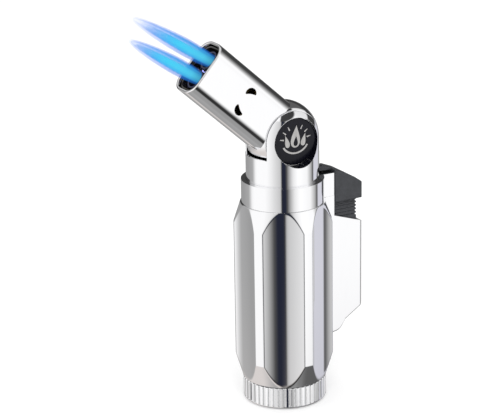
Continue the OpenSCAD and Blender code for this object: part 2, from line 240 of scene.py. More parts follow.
def blank(name):
    material = bpy.data.materials.new(name)
    material.use_nodes = True
    tree = material.node_tree
    tree.nodes.clear()
    shader = put(tree, "BsdfPrincipled")
    output = put(tree, "OutputMaterial")
    tree.links.new(shader.outputs[0], output.inputs[0])
    return material, tree, shader


def object_coords(tree, scale=(1, 1, 1)):
    """Object coordinates in millimetres, which are the same for every piece."""
    coords = put(tree, "TexCoord")
    return put(tree, "VectorMath", {0: coords.outputs["Object"], 1: [s / MM for s in scale]},
               operation="MULTIPLY").outputs[0]


def noise(tree, vector, scale, detail=3, rough=0.5):
    return put(tree, "TexNoise", {"Vector": vector, "Scale": scale, "Detail": detail,
                                  "Roughness": rough}).outputs["Fac"]


def link(tree, source, shader, socket):
    tree.links.new(source, shader.inputs[socket])


def bump(tree, shader, height, distance_mm, inner=None):
    made = put(tree, "Bump", {"Height": height, "Strength": 1.0, "Distance": distance_mm * MM})
    if inner:
        tree.links.new(inner, made.inputs["Normal"])
    tree.links.new(made.outputs[0], shader.inputs["Normal"])


def spread(tree, value, low, high, start=0.3, end=0.7):
    """Maps a 0..1 value between start and end to low..high."""
    return put(tree, "MapRange", {"Value": value, "From Min": start, "From Max": end,
                                  "To Min": low, "To Max": high}).outputs[0]


# ---------- materials ----------
def metal(name, colour, dark, rough=(0.05, 0.12), grain=0.0, edge=0.0, speck=0.25):
    """Plated or bare metal: cloudy polish, fine smears, and optional rounding seen at the edges."""
    material, tree, shader = blank(name)
    shader.inputs["Metallic"].default_value = 1
    at = object_coords(tree)
    cloud = noise(tree, at, 0.11, 4, 0.55)
    smear = noise(tree, object_coords(tree, (1, 1, 0.12)), 1.4, 4, 0.6)
    both = put(tree, "Math", {0: cloud, 1: smear}, operation="MULTIPLY").outputs[0]
    link(tree, spread(tree, both, rough[0], rough[1], 0.18, 0.4), shader, "Roughness")
    tint = put(tree, "Mix", {"Factor": spread(tree, smear, 0, speck, 0.4, 0.75)}, data_type="RGBA")
    sockets = [s for s in tint.inputs if s.type == "RGBA"]
    sockets[0].default_value, sockets[1].default_value = (*colour, 1), (*dark, 1)
    link(tree, [s for s in tint.outputs if s.type == "RGBA"][0], shader, "Base Color")
    rounded = None
    if edge:
        rounded = put(tree, "Bevel", {"Radius": edge * MM}, samples=4).outputs[0]
        link(tree, rounded, shader, "Normal")
    if grain:
        scratches = noise(tree, object_coords(tree, (1, 1, 0.2)), 3.0, 4, 0.6)
        bump(tree, shader, scratches, grain, rounded)
    return material


def moulded(name, colour, rough, grain_mm, grain_scale, spec=0.5, vary=0.15):
    """Moulded plastic or rubber with a fine spark-eroded grain."""
    material, tree, shader = blank(name)
    at = object_coords(tree)
    shade = spread(tree, noise(tree, at, 0.5, 4), 1 - vary, 1 + vary)
    tone = put(tree, "HueSaturation", {"Color": (*colour, 1), "Value": shade})
    link(tree, tone.outputs[0], shader, "Base Color")
    link(tree, spread(tree, noise(tree, at, 1.7, 3), rough - 0.06, rough + 0.06), shader, "Roughness")
    shader.inputs["Specular IOR Level"].default_value = spec
    pores = put(tree, "TexVoronoi", {"Vector": at, "Scale": grain_scale}).outputs["Distance"]
    mixed = put(tree, "Math", {0: pores, 1: noise(tree, at, grain_scale * 0.7, 2)}, operation="ADD")
    bump(tree, shader, mixed.outputs[0], grain_mm)
    return material


CHROME = metal("chrome", (0.93, 0.93, 0.94), (0.86, 0.86, 0.88), (0.015, 0.05), edge=0.12, speck=0.1)
# Painted shade: near-black, rough metal for the faces inside the ears and the socket, standing in for the shade in
# the gap round the head.
SHADED_INSIDE = metal("unpolished_painted_shade", (0.07, 0.07, 0.08), (0.04, 0.04, 0.045), (0.25, 0.4), 0.01)
SILVER = metal("emblem_silver", (0.5, 0.49, 0.48), (0.32, 0.31, 0.3), (0.2, 0.34), grain=0.01)
BLACK = moulded("black_plastic", (0.035, 0.037, 0.043), 0.42, 0.02, 4.0, 0.5)
MATERIALS = {
    "chrome": CHROME,
    "black_plastic": BLACK,
    "dark_steel": metal("dark_steel", (0.16, 0.155, 0.15), (0.06, 0.058, 0.055), (0.3, 0.5), 0.01),
    "steel": metal("steel", (0.62, 0.62, 0.63), (0.42, 0.42, 0.43), (0.2, 0.38), 0.006),
    "brass": metal("brass", (0.78, 0.57, 0.24), (0.5, 0.33, 0.12), (0.18, 0.36), 0.006),
    "grey_plastic": moulded("grey_plastic", (0.2, 0.21, 0.22), 0.5, 0.012, 5.0),
    "tank_plastic": moulded("tank_plastic", (0.5, 0.56, 0.6), 0.3, 0.006, 4.0),
    "pale_plastic": moulded("pale_plastic", (0.72, 0.69, 0.58), 0.42, 0.01, 5.0),
    "black_rubber": moulded("black_rubber", (0.02, 0.02, 0.02), 0.65, 0.02, 7.0),
    "red_sleeve": moulded("red_sleeve", (0.42, 0.04, 0.03), 0.5, 0.01, 6.0),
}


def heat_steel():
    """Steel near the flames: straw and blue temper colours, strongest at the mouth."""
    material, tree, shader = blank("heat_steel")
    shader.inputs["Metallic"].default_value = 1
    at = object_coords(tree)
    aim = (-math.sin(HEAD_LEAN), 0, math.cos(HEAD_LEAN))
    along = put(tree, "VectorMath", {0: at, 1: aim}, operation="DOT_PRODUCT").outputs["Value"]
    start = PIVOT.z * math.cos(HEAD_LEAN) + 22
    wander = spread(tree, noise(tree, at, 0.8), -1.5, 1.5)
    wavy = put(tree, "Math", {0: along, 1: wander}, operation="ADD").outputs[0]
    link(tree, ramp(tree, spread(tree, wavy, 0, 1, start, start + 15), [
        (0, (0.36, 0.33, 0.29)), (0.45, (0.42, 0.3, 0.16)), (0.65, (0.3, 0.16, 0.14)),
        (0.8, (0.1, 0.11, 0.24)), (1, (0.1, 0.1, 0.11))]), shader, "Base Color")
    link(tree, spread(tree, noise(tree, at, 2.5), 0.3, 0.55), shader, "Roughness")
    bump(tree, shader, noise(tree, at, 6, 4), 0.01)
    return material


def badge_face():
    """Gloss black enamel over a faint brushed ground, seen on the disc's flat."""
    material, tree, shader = blank("badge_enamel")
    at = object_coords(tree, (1, 0.1, 0.06))
    brushed = noise(tree, at, 6, 3)
    link(tree, ramp(tree, brushed, [(0.3, (0.002, 0.002, 0.005)), (0.7, (0.007, 0.007, 0.013))]),
         shader, "Base Color")
    link(tree, spread(tree, brushed, 0.2, 0.34), shader, "Roughness")
    shader.inputs["Specular IOR Level"].default_value = 0.2
    shader.inputs["Coat Weight"].default_value = 0.05
    shader.inputs["Coat Roughness"].default_value = 0.06
    bump(tree, shader, brushed, 0.006)
    return material


MATERIALS["heat_steel"] = heat_steel()
MATERIALS["badge_enamel"] = badge_face()


def dress(piece, material, body=None, nodes=()):
    """Gives a piece its material and its place in the assembly."""
    piece.data.materials.clear()
    piece.data.materials.append(material)
    if body:
        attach(piece, body)
    if nodes:
        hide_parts(*nodes)
    return piece


# ---------- case ----------
def case_radius(z):
    """The turned case: a straight barrel with a cone at each end."""
    low = FOOT_R + (CASE_R - FOOT_R) * (z - CASE_Z) / (LAND_LOW - CASE_Z)
    high = SHOULDER_R + (CASE_R - SHOULDER_R) * (CASE_TOP - z) / (CASE_TOP - LAND_HIGH)
    return soft_min(soft_min(low, CASE_R, 0.06), high, 0.06)


def flute_radius(turn):
    return FLUTE_X * math.cos(turn) - math.sqrt(FLUTE_R ** 2 - (FLUTE_X * math.sin(turn)) ** 2)


def case_shell():
    in_flute = [0, .12, .24, .35, .46, .56, .65, .73, .8, .86, .91, .945, .965, .98, .99, 1]
    in_land = [.02, .045, .08, .13, .2, .32, .5, .75, 1]
    opening = 0.66
    rows = []

    def stretch(a, b, count):
        return [a + (b - a) * i / count for i in range(count)]

    near = [-.5, -.25, -.12, -.05, 0, .05, .12, .25, .5]
    for z in (stretch(CASE_Z + .16, LAND_LOW - 1, 6) + [LAND_LOW + d for d in near]
              + stretch(LAND_LOW + 1, LAND_HIGH - 1, 16) + [LAND_HIGH + d for d in near]
              + stretch(LAND_HIGH + 1, CASE_TOP - .16, 12) + [CASE_TOP - .16]):
        rows.append(z)

    def columns(z):
        """Turns round the case at this height, with whether each lies over the fin's opening."""
        big = case_radius(z)
        edge = math.acos(min((big * big + FLUTE_X ** 2 - FLUTE_R ** 2) / (2 * big * FLUTE_X), .9997))
        half = [(edge * u, u) for u in in_flute]
        half += [(edge + (math.pi / FLUTES - edge) * v, 1 + v) for v in in_land]
        sector = [(-t, u) for t, u in reversed(half[1:-1])] + half
        return [(2 * math.pi * s / FLUTES + t, t, u, s) for s in range(FLUTES) for t, u in sector]

    def reach(turn, z):
        return soft_min(case_radius(z), flute_radius(turn), 0.2)

    outer, normals = [], []
    for z in rows:
        loop = []
        for angle, turn, _, _ in columns(z):
            r = reach(turn, z)
            loop.append((r * math.cos(angle), r * math.sin(angle), z))
            by_turn = (reach(turn + 1e-5, z) - reach(turn - 1e-5, z)) / 2e-5
            by_z = (reach(turn, z + 1e-4) - reach(turn, z - 1e-4)) / 2e-4
            out = Vector((math.cos(angle), math.sin(angle), 0))
            side = Vector((-math.sin(angle), math.cos(angle), 0))
            normals.append((out - side * by_turn / r - Vector((0, 0, by_z))).normalized())
        outer.append(loop)
    inner = [[(BORE_R * math.cos(c[0]), BORE_R * math.sin(c[0]), z) for c in columns(z)] for z in rows]

    size, count = len(outer[0]), len(rows)
    verts = [p for loop in outer + inner for p in loop]
    flags = columns(rows[0])
    open_column = [flags[k][3] == 0 and max(flags[k][2], flags[(k + 1) % size][2]) <= opening
                   for k in range(size)]
    open_row = [rows[i] > 20.3 and rows[i + 1] < 60 for i in range(count - 1)]
    shift = size * count
    faces = []
    for i in range(count - 1):
        for k in range(size):
            n = (k + 1) % size
            a, b, c, d = i * size + k, i * size + n, (i + 1) * size + n, (i + 1) * size + k
            if open_column[k] and open_row[i]:
                for p, q, ok in ((a, b, i > 0 and not open_row[i - 1]),
                                 (c, d, i + 1 < count - 1 and not open_row[i + 1]),
                                 (b, c, not open_column[n]), (d, a, not open_column[k - 1])):
                    if ok:
                        faces.append((q, p, p + shift, q + shift))
                continue
            faces.append((a, b, c, d))
            faces.append((d + shift, c + shift, b + shift, a + shift))
    # Rounded rims join the outside to the bore.
    for row, up in ((0, -1), (count - 1, 1)):
        previous = list(range(row * size, (row + 1) * size))
        for angle in (22, 45, 67, 90):
            a = math.radians(angle)
            start = len(verts)
            for p in outer[row]:
                r = math.hypot(p[0], p[1])
                k = (r - .16 * (1 - math.cos(a))) / r
                verts.append((p[0] * k, p[1] * k, p[2] + up * .16 * math.sin(a)))
            ring = list(range(start, start + size))
            for k in range(size):
                n = (k + 1) % size
                face = (previous[k], previous[n], ring[n], ring[k])
                faces.append(face if up > 0 else face[::-1])
            previous = ring
        ring = [shift + row * size + k for k in range(size)]
        for k in range(size):
            n = (k + 1) % size
            face = (previous[k], previous[n], ring[n], ring[k])
            faces.append(face if up > 0 else face[::-1])
    piece = mesh_from("case", verts, faces)
    piece.data.shade_smooth()
    piece.data.set_sharp_from_angle(angle=math.radians(50))
    normals += [(0, 0, 0)] * (len(verts) - len(normals))
    piece.data.normals_split_custom_set_from_vertices(normals)
    return piece


dress(case_shell(), CHROME, "torch_body", ["body_shell"])


def trigger_housing():
    """The fin behind the case that the trigger runs in."""
    back, step_z, chamfer, slope = FIN_BACK, 26, 0.5, 1.2
    outline = [(12.2, CASE_TOP), (15.4, CASE_TOP), (15.4, 56.7), (25.3, 53.4), (back, 53.05),
               (back, step_z), (19.6, 22), (18.9, 20.8), (18.1, 19.7), (17.3, 19.05), (16.4, 18.7),
               (12.2, 18.2)]
    # The stepped lower edge is broken by a narrow chamfer on both sides.
    piece = lofted("trigger_housing", [
        [(x, y, z) if z > step_z else (x - inset / 2, y, z + inset) for x, z in outline]
        for y, inset in ((-FIN_Y, chamfer), (chamfer - FIN_Y, 0), (FIN_Y - chamfer, 0),
                         (FIN_Y, chamfer))])
    plan = [(12, -FIN_Y), (back - slope, -FIN_Y), (back, slope - FIN_Y), (back, FIN_Y - slope),
            (back - slope, FIN_Y), (12, FIN_Y)]
    cut(piece, extruded("plan", plan, 0, 80, "Z"), "INTERSECT")
    inside = back - FIN_WALL
    hollow = [(10, 20.3), (16.6, 20.3), (18.9, 23.1), (inside, 26.5), (inside, 51.4), (24.4, 52),
              (24.4, 60), (10, 60)]
    cut(piece, extruded("hollow", hollow, FIN_WALL - FIN_Y, FIN_Y - FIN_WALL))
    bevelled(piece, 0.32, 4, 20)
    return shaded(piece, 60)


dress(trigger_housing(), CHROME, "torch_body", ["body_shell"])


# ---------- foot ring ----------
def foot_ring():
    notches, notch_r = 48, 0.45
    r, top = RING_R, RING_H
    pitch = 2 * math.pi / notches

    def limit(angle, h):
        off = (angle + pitch / 2) % pitch - pitch / 2
        centre = r + 0.05
        side = centre * math.sin(off)
        if h < 0.7 or abs(side) >= notch_r:
            return 99
        return centre * math.cos(off) - math.sqrt(notch_r ** 2 - side ** 2)

    profile = [(4.5, 0.12), (4.62, 0), (12.16, 0), (12.3, 0.05), (12.72, 0.46), (r, 0.58), (r, 0.69),
               (r, 0.8), (r, top - 0.28), (12.68, top - 0.12), (12.5, top), (11.2, top),
               (11.2, 1.8), (5.25, 1.8), (5.25, 8.9), (4.9, 9.1), (4.9, 9.65), (5.25, 9.75),
               (5.2, 10.1), (4.4, 10.1), (4.35, 10)]
    piece = turned("foot_ring", profile, notches * 14, limit=limit)
    return shaded(piece, 38)


dress(foot_ring(), CHROME, "adjuster", ["adjuster_ring"])


# ---------- collar ----------
def collar():
    r, low, high = -collar_low.x, collar_low.z, collar_high.z
    lug_x, lug_y, slot_y = collar_high.x, 4.5, 2.8
    piece = turned("collar", [(NECK_R + .05, low), (r, low), (r, high), (NECK_R + .05, high)], 256)
    lug = [(NECK_R + .6, -lug_y), (lug_x, -lug_y), (lug_x, lug_y), (NECK_R + .6, lug_y)]
    cut(piece, extruded("lug", lug, low, high, "Z"), "UNION")
    slot = [(5, -slot_y), (lug_x + 1, -slot_y), (lug_x + 1, slot_y), (5, slot_y)]
    cut(piece, extruded("slot", slot, high - 5, high + 1, "Z"))
    bevelled(piece, 0.3, 3, 50)
    return shaded(piece, 60)


dress(collar(), CHROME, "torch_body", ["collar"])


# ---------- neck ----------
def neck_yoke():
    """The neck with its two domed ears, shaded by the shapes it was turned and bored to."""
    soft = 0.35
    segments = 320
    profile = [(7, yoke_low.z), (NECK_R, yoke_low.z), (NECK_R, 68), (NECK_R, 76),
               (NECK_R, PIVOT.z)]
    profile += [(NECK_R * math.cos(a), PIVOT.z + NECK_R * math.sin(a))
                for a in (math.radians(90 * k / 72) for k in range(1, 72))]
    profile += [(0.02, PIVOT.z + NECK_R)]
    turns = [2 * math.pi * k / segments for k in range(segments)]
    piece = lofted("neck_yoke_shell", [[(r * math.cos(a), r * math.sin(a), h) for a in turns]
                                       for r, h in profile])
    gap = [(-20, RIM_Z), (20, RIM_Z), (20, 120), (-20, 120)]
    cut(piece, extruded("gap", gap, -EAR_IN, EAR_IN))
    socket = []
    for k in range(25):
        y = -EAR_IN + 2 * EAR_IN * k / 24
        reach = math.sqrt(SOCKET_R ** 2 - y ** 2)
        socket.append([(reach * math.cos(a), y, PIVOT.z + reach * math.sin(a))
                       for a in (2 * math.pi * s / 192 for s in range(192))])
    cut(piece, lofted("socket", socket))
    for side in (-1, 1):
        disc = [(RECESS_R * math.cos(a), PIVOT.z + RECESS_R * math.sin(a))
                for a in (2 * math.pi * s / 256 for s in range(256))]
        near, far = sorted((side * EAR_FLAT, side * 20))
        cut(piece, extruded("recess", disc, near, far))
    for side in (-1, 1):
        # The ear's inner edge is rounded, up one side, over the dome and down the other.
        hub_y = EAR_IN + soft
        hub_r = math.sqrt((NECK_R - soft) ** 2 - hub_y ** 2)
        end = math.atan2(hub_y, hub_r)
        arc = [(hub_r + soft * math.cos(a), hub_y + soft * math.sin(a))
               for a in (end - (end + math.pi / 2) * (1 - k / 6) for k in range(7))]
        wedge = [(hub_r, EAR_IN - .1)] + arc
        wedge += [(arc[-1][0] + .02, arc[-1][1] + .02), (10.4, EAR_IN - .1)]
        path = [(-1, 0, RIM_Z)]
        path += [(-math.cos(a), math.sin(a), PIVOT.z) for a in (math.pi * k / 96 for k in range(97))]
        path += [(1, 0, RIM_Z)]
        cut(piece, lofted("rounding", [[(r * c, side * y, h + r * s) for r, y in wedge]
                                       for c, s, h in path]))
    mesh = piece.data
    mesh.shade_smooth()
    normals = []
    for face in mesh.polygons:
        flat = Vector(face.normal)
        middle = face.center / MM
        from_pivot = middle - PIVOT
        for corner in face.loop_indices:
            p = mesh.vertices[mesh.loops[corner].vertex_index].co / MM
            q = p - PIVOT
            made = flat
            if middle.z < PIVOT.z and abs(math.hypot(middle.x, middle.y) - NECK_R) < .02:
                made = Vector((p.x, p.y, 0)).normalized()
            elif middle.z >= PIVOT.z and abs(from_pivot.length - NECK_R) < .02:
                made = q.normalized()
            elif abs(from_pivot.length - SOCKET_R) < .03 and flat.dot(from_pivot) < 0:
                made = -q.normalized()
            elif abs(abs(middle.y) - hub_y) < soft and middle.z > RIM_Z and abs(flat.y) < .99:
                if middle.z > PIVOT.z:
                    spoke = math.hypot(q.x, q.z)
                    made = Vector((q.x * (spoke - hub_r) / spoke, q.y - math.copysign(hub_y, q.y),
                                   q.z * (spoke - hub_r) / spoke)).normalized()
                else:
                    made = Vector((q.x - math.copysign(hub_r, q.x), q.y - math.copysign(hub_y, q.y),
                                   0)).normalized()
            elif abs(math.hypot(from_pivot.x, from_pivot.z) - RECESS_R) < .02 and abs(flat.y) < .1:
                made = -Vector((q.x, 0, q.z)).normalized()
            normals.append(made)
    mesh.normals_split_custom_set(normals)
    return piece


yoke = dress(neck_yoke(), CHROME, "torch_body", ["neck_yoke"])
# Painted shade: the faces inside the ears and the socket are near-black and rough, for the shade
# of the gap round the head. Each badge's recess wall takes the badge's dark enamel material.
yoke.data.materials.append(SHADED_INSIDE)
yoke.data.materials.append(MATERIALS["badge_enamel"])
for face in yoke.data.polygons:
    middle = face.center / MM
    inner = abs(abs(middle.y) - EAR_IN) < .02 or (middle - PIVOT).length < NECK_R - .1
    if inner and abs(middle.y) < EAR_IN + .05 and middle.z > 71:
        face.material_index = 1
    spoke = math.hypot(middle.x - PIVOT.x, middle.z - PIVOT.z)
    if abs(spoke - RECESS_R) < .02 and abs(face.normal.y) < .1 and abs(middle.y) > EAR_FLAT:
        face.material_index = 2


# ---------- badges ----------
def emblem_parts():
    """Outlines in the badge's plane: a flame drop with a smaller one each side, an arc and rays."""
    def drop(cx, cy, wide, tall, lean, steps=40):
        points = []
        for k in range(steps):
            t = 2 * math.pi * k / steps
            body = math.sin(t / 2) ** 1.6
            x = wide / 2 * math.sin(t) * body
            y = tall * (0.5 + 0.5 * math.cos(t)) - tall * .35
            points.append((cx + x + lean * (y / tall + .35) ** 2, cy + y))
        return points

    parts = [drop(0, 0.6, 4.6, 6.9, 0.5)]
    parts += [drop(s * 2.6, -0.2, 2.3, 3.9, s * 0.9) for s in (-1, 1)]
    arc = []
    for r, order in ((4.75, 1), (4.15, -1)):
        span = [math.radians(205 + 130 * k / 24) for k in range(25)][::order]
        arc += [(r * math.cos(a), 0.3 + r * math.sin(a) * 0.86) for a in span]
    parts.append(arc)
    for deg in (12, 38, 62, 118, 142, 168):
        a = math.radians(deg)
        along, side = (math.cos(a), math.sin(a)), (-math.sin(a), math.cos(a))
        parts.append([(along[0] * r + side[0] * w, .1 + along[1] * r + side[1] * w)
                      for r, w in ((4.0, -.24), (5.3, -.1), (5.3, .1), (4.0, .24))])
    return parts


def badge(name, side, node):
    """One enamelled disc with its raised emblem."""
    turn = Matrix.Translation(PIVOT) @ Matrix.Rotation(math.pi if side < 0 else 0, 4, "Z")
    face = EAR_FLAT + 0.38
    dome = [(0.02, EAR_FLAT + .03), (BADGE_R - .03, EAR_FLAT + .03), (BADGE_R - .03, face - .1),
            (BADGE_R - .15, face)]
    dome += [(r, face + .07 * (1 - (r / 7) ** 2)) for r in (6.6, 5.4, 3.8, 2, .02)]
    disc = shaded(turned(name, dome, 160, "Y", turn), 40)
    dress(disc, MATERIALS["badge_enamel"], "torch_body", [node])
    work = []
    for i, outline in enumerate(emblem_parts()):
        flip = [(-x, z) for x, z in outline]
        part = extruded(f"{name}_mark_{i}", flip, face - .05, face + .2, "Y", turn)
        work.append(part)
    for extra in work[1:]:
        cut(work[0], extra, "UNION")
    inner = [(x * .45 + .12, z * .45 - .55) for x, z in emblem_parts()[0]]
    cut(work[0], extruded("core", [(-x, z) for x, z in inner], face + .06, face + .4, "Y", turn))
    work[0].name = name + "_emblem"
    bevelled(work[0], 0.07, 2, 40)
    shaded(work[0], 50)
    dress(work[0], SILVER, "torch_body")


badge("badge_left", -1, "left_badge")
badge("badge_right", 1, "right_badge")


# ---------- head ----------
def vent_outline(side):
    """A half-moon, as a circle less the circle that flattens one side of it."""
    points, flat_r = [], 6.1
    for k in range(33):
        a = math.radians(-88 + 176 * k / 32)
        points.append((VENT_R * math.cos(a), VENT_R * math.sin(a)))
    for k in range(1, 12):
        y = VENT_R - 2 * VENT_R * k / 12
        points.append((-flat_r + math.sqrt(flat_r ** 2 - y * y) + .02, y))
    return [(side * x, y) for x, y in points]


def nozzle_tube():
    """The square tube with rounded corners, open at the mouth, and its vents."""
    start, length = 2.0, HEAD_REACH
    outer = [(z, 0) for z in (start, 8, 14, 20, 26, 32, length - .3)]
    outer += [(length - .3 + .3 * math.sin(a), .3 * (1 - math.cos(a)))
              for a in (math.radians(d) for d in (30, 60, 90))]
    inner = [(length, TUBE_WALL - .2), (length - .06, TUBE_WALL - .06), (length - .2, TUBE_WALL),
             (30, TUBE_WALL), (20, TUBE_WALL), (7.6, TUBE_WALL)]
    loops = []
    for z, inset in outer + inner:
        ring = rounded_rect(TUBE_D - 2 * inset, TUBE_W - 2 * inset, TUBE_ROUND - inset)
        spaced = []
        for k, (x, y) in enumerate(ring):
            spaced.append((x, y, z))
            x2, y2 = ring[(k + 1) % len(ring)]
            if math.hypot(x2 - x, y2 - y) > 2:
                spaced += [(x + (x2 - x) * j / 8, y + (y2 - y) * j / 8, z) for j in range(1, 8)]
        loops.append(spaced)
    piece = lofted("nozzle_tube", loops)
    for side in (-1, 1):
        turn = (Matrix.Translation((side * VENT_U, 0, VENT_ALONG))
                @ Matrix.Rotation(side * math.radians(-27), 4, "Y"))
        cut(piece, extruded("vent", vent_outline(side), -10, 10, "Y", turn))
    shaded(piece, 50)
    # The normals shade the flats as if polishing had left them very slightly crowned, so the corners
    # run into them softly; the mesh itself stays flat.
    mesh = piece.data
    half_d, half_w = TUBE_D / 2, TUBE_W / 2
    normals = [Vector(n.vector) for n in mesh.corner_normals]
    for face in mesh.polygons:
        middle = face.center / MM
        off = math.hypot(max(abs(middle.x) - half_d + TUBE_ROUND, 0),
                         max(abs(middle.y) - half_w + TUBE_ROUND, 0))
        if abs(off - TUBE_ROUND) > .04 or abs(face.normal.z) > .1:
            continue
        for corner in face.loop_indices:
            p = mesh.vertices[mesh.loops[corner].vertex_index].co / MM
            u, v = p.x / half_d, p.y / half_w
            normals[corner] = Vector((u ** 3 / half_d, v ** 3 / half_w, 0)).normalized()
    mesh.normals_split_custom_set(normals)
    mesh.transform(Matrix.Translation(PIVOT * MM) @ Matrix.Rotation(-HEAD_LEAN, 4, "Y"))
    return piece


def knuckle():
    """The ball cut to a slice that the head turns on."""
    r, half, inner_r, inner_half = KNUCKLE_R, TUBE_W / 2 - .02, 9.35, 3.6
    edge = [(math.sqrt(r * r - y * y), y) for y in (half * k / 16 for k in range(-16, 17))]
    edge[0], edge[-1] = (edge[0][0] - .12, -half), (edge[-1][0] - .12, half)
    profile = [(1.55, -half)] + edge + [(1.55, half)]
    piece = turned("knuckle", profile, 224, "Y")
    hollow = []
    for y in (inner_half * j / 6 for j in range(-6, 7)):
        reach = math.sqrt(inner_r ** 2 - y * y)
        hollow.append([(reach * math.cos(a), y, reach * math.sin(a))
                       for a in (2 * math.pi * k / 128 for k in range(128))])
    cut(piece, lofted("hollow", hollow))
    bore = rounded_rect(TUBE_D - 2 * TUBE_WALL, TUBE_W - 2 * TUBE_WALL, 1.5)
    cut(piece, extruded("bore", bore, 7.5, 30, "Z"))
    mouth = [(0, -3)] + [(-15 * math.sin(math.radians(a)), -15 * math.cos(math.radians(a)))
                         for a in (-8 + 21.5 * k for k in range(5))] + [(-3, 0)]
    cut(piece, extruded("mouth", mouth, -2.8, 2.8))
    piece.data.transform(Matrix.Translation(PIVOT * MM) @ Matrix.Rotation(-HEAD_LEAN, 4, "Y"))
    return shaded(piece, 40)


dress(nozzle_tube(), CHROME, "head", ["head_shell"])
dress(knuckle(), CHROME, "head", ["head_shell"])


# ---------- trigger ----------
def trigger_pieces():
    (x0, x1), foot, cap_half_w, grooves, pitch = TRIGGER_X, trigger_low.z, 4.5, 5, 1.1
    cap = extruded("trigger_cap", [
        (x0, CAP_Z), (CAP_X, CAP_Z), (CAP_X, 65.9), (22.9, 67.7), (19.6, 69.6), (x0, 71.15)],
        -cap_half_w, cap_half_w)
    bevelled(cap, 0.32, 4, 20)
    shaded(cap, 60)
    # The stem, with a rounded groove at every pitch down from the cap
    middles = [CAP_Z - .9 - i * pitch for i in reversed(range(grooves))]
    heights = [foot, foot + 3]
    for middle in middles:
        heights += [middle + d for d in (-.42, -.3, -.22, -.1, 0, .1, .22, .3, .42)]
    heights.append(CAP_Z + .4)

    def depth(z):
        off = min(abs(z - middle) for middle in middles)
        return .3 * math.cos(off / .36 * math.pi / 2) ** .7 if off < .36 else 0

    loops = []
    for z in heights:
        d = depth(z)
        plan = rounded_rect(x1 - x0 - d, 6.9 - 2 * d, .5, 5)
        loops.append([((x0 + x1 - d) / 2 + x, y, z) for x, y in plan])
    stem = shaded(lofted("trigger_stem", loops), 50)
    nose = extruded("trigger_nose", [
        (trigger_low.x + 3.9, 70.9), (16.7, 70.6), (16.7, 70.9), (15.1, 71.4), (12.6, 72.4),
        (trigger_low.x + 3.9, 72.2)], -2.4, 2.4)
    arm = extruded("trigger_arm", [(7.4, 55.2), (16.7, 55.2), (16.7, 57.2), (7.4, 57.2)], -1.3, 1.3)
    for piece in (nose, arm):
        bevelled(piece, 0.15, 2, 30)
        shaded(piece, 60)
    return cap, stem, nose, arm


for piece in trigger_pieces():
    dress(piece, BLACK, "trigger_slide", ["trigger"])

# ---------- the CAD's own pieces ----------
REPLACED = {"body_shell", "adjuster_ring", "collar", "neck_yoke", "left_badge", "right_badge",
            "head_shell", "trigger", "gas_hose", "igniter_wire"}
for name, piece in NODES.items():
    if name not in REPLACED:
        piece.data.materials.clear()
        piece.data.materials.append(MATERIALS[SLOT_OF[name]])


def swept(name, route, radius, sides=20):
    """A round line through the points."""
    loops = []
    for i, p in enumerate(route):
        ahead = (Vector(route[min(i + 1, len(route) - 1)]) - Vector(route[max(i - 1, 0)])).normalized()
        across = ahead.cross(Vector((0, 1, 0))).normalized()
        over = across.cross(ahead)
        loops.append([Vector(p) + radius * (math.cos(a) * across + math.sin(a) * over)
                      for a in (2 * math.pi * k / sides for k in range(sides))])
    return shaded(lofted(name, loops), 60)


def smooth_route(points, steps=6):
    """Rounds a list of points with a Catmull-Rom curve."""
    made = []
    for i in range(len(points) - 1):
        p0, p1 = Vector(points[max(i - 1, 0)]), Vector(points[i])
        p2, p3 = Vector(points[i + 1]), Vector(points[min(i + 2, len(points) - 1)])
        for k in range(steps):
            t = k / steps
            made.append(.5 * (2 * p1 + (p2 - p0) * t + (2 * p0 - 5 * p1 + 4 * p2 - p3) * t * t
                              + (3 * p1 - p0 - 3 * p2 + p3) * t ** 3))
    return made + [Vector(points[-1])]


def bend_route(y, reach):
    """The stretch of a line that turns with the head: up the neck, round, and along the tube."""
    bend_r = 6
    lead = bend_r * math.tan(HEAD_LEAN / 2)
    points = []
    for k in range(9):
        a = HEAD_LEAN * k / 8
        points.append(PIVOT + Vector((-bend_r * (1 - math.cos(a)), y, bend_r * math.sin(a) - lead)))
    return points + [along_head(d, y) for d in (lead + 2, (lead + reach) / 2, reach)]


def along_head(d, y):
    return PIVOT + Vector((-d * math.sin(HEAD_LEAN), y, d * math.cos(HEAD_LEAN)))


hose_points = [(-4, 0, 56), (-4, 0, 57.2), (-3.2, 0, 59.6), (-2, 0, 62), (-.7, 0, 64.6),
               (0, 0, 68), (0, 0, 74)] + bend_route(0, 13.5)
wire_points = [(x, WIRE_Y, z) for x, z in (
    (15.95, 38.5), (15, 39), (14.4, 40.5), (14.3, 45), (13.8, 48), (12, 50), (10.6, 52), (10, 55),
    (8.6, 58), (8.4, 60.5), (6, 64), (2, 67.5), (.3, 70.5), (0, 74))] + bend_route(WIRE_Y, 10)
wire_points += [along_head(d, WIRE_Y + 1.5 * part)
                for d, part in ((12, .35), (14, .8), (16, 1), (22.4, 1))]
for name, points, radius in (("gas_hose", hose_points, HOSE_R), ("igniter_wire", wire_points, WIRE_R)):
    line = swept(name + "_line", smooth_route(points), radius)
    dress(line, MATERIALS[SLOT_OF[name]], nodes=[name])
    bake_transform(line)


